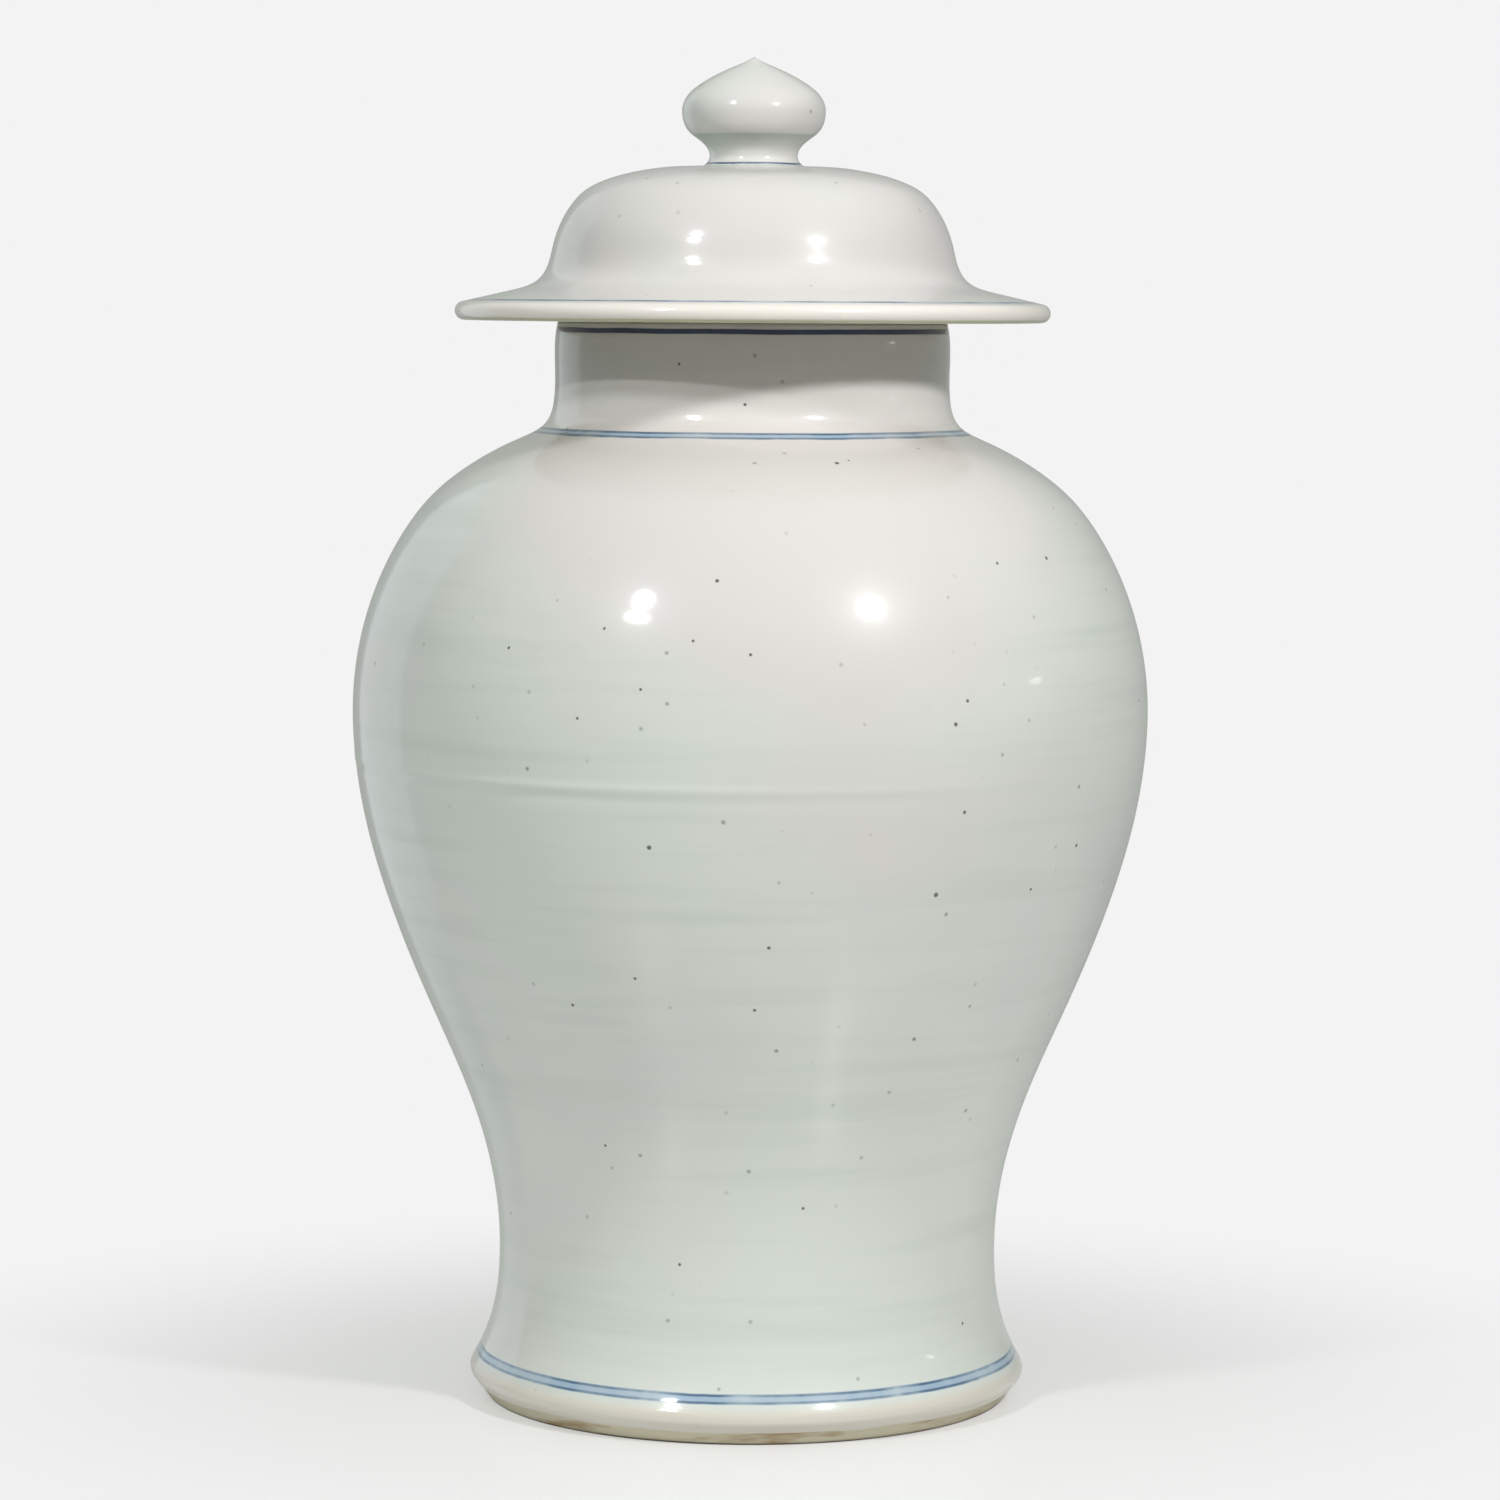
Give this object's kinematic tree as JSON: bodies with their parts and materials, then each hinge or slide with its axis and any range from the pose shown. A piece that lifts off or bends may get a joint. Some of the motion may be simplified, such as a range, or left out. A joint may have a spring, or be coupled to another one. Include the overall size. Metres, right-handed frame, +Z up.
{
  "type": "potiche",
  "caption": "Tall porcelain baluster jar with a flared foot, high shoulder and upright neck, and a domed, brimmed cover with a bud knob that lifts off.",
  "frame": {"origin": "centre of the circle that the foot stands on", "axes": "+Z up along the jar's axis, +X to the right and +Y to the back as the picture shows it"},
  "size_m": [0.3324, 0.3324, 0.56],
  "materials": {
    "glaze": "gloss",
    "biscuit": "matt"
  },
  "bodies": {
    "jar": {"foot_ring": "biscuit", "base": "glaze", "lower_body": "glaze", "upper_body": "glaze", "neck": "glaze"},
    "cover": {"cover_dome": "glaze", "cover_collar": "biscuit", "cover_knob": "glaze"}
  },
  "joints": [
    {"name": "cover_lift", "type": "slide", "parent": "jar", "child": "cover", "axis": [0, 0, 1], "range_m": [0, 0.1]}
  ]
}
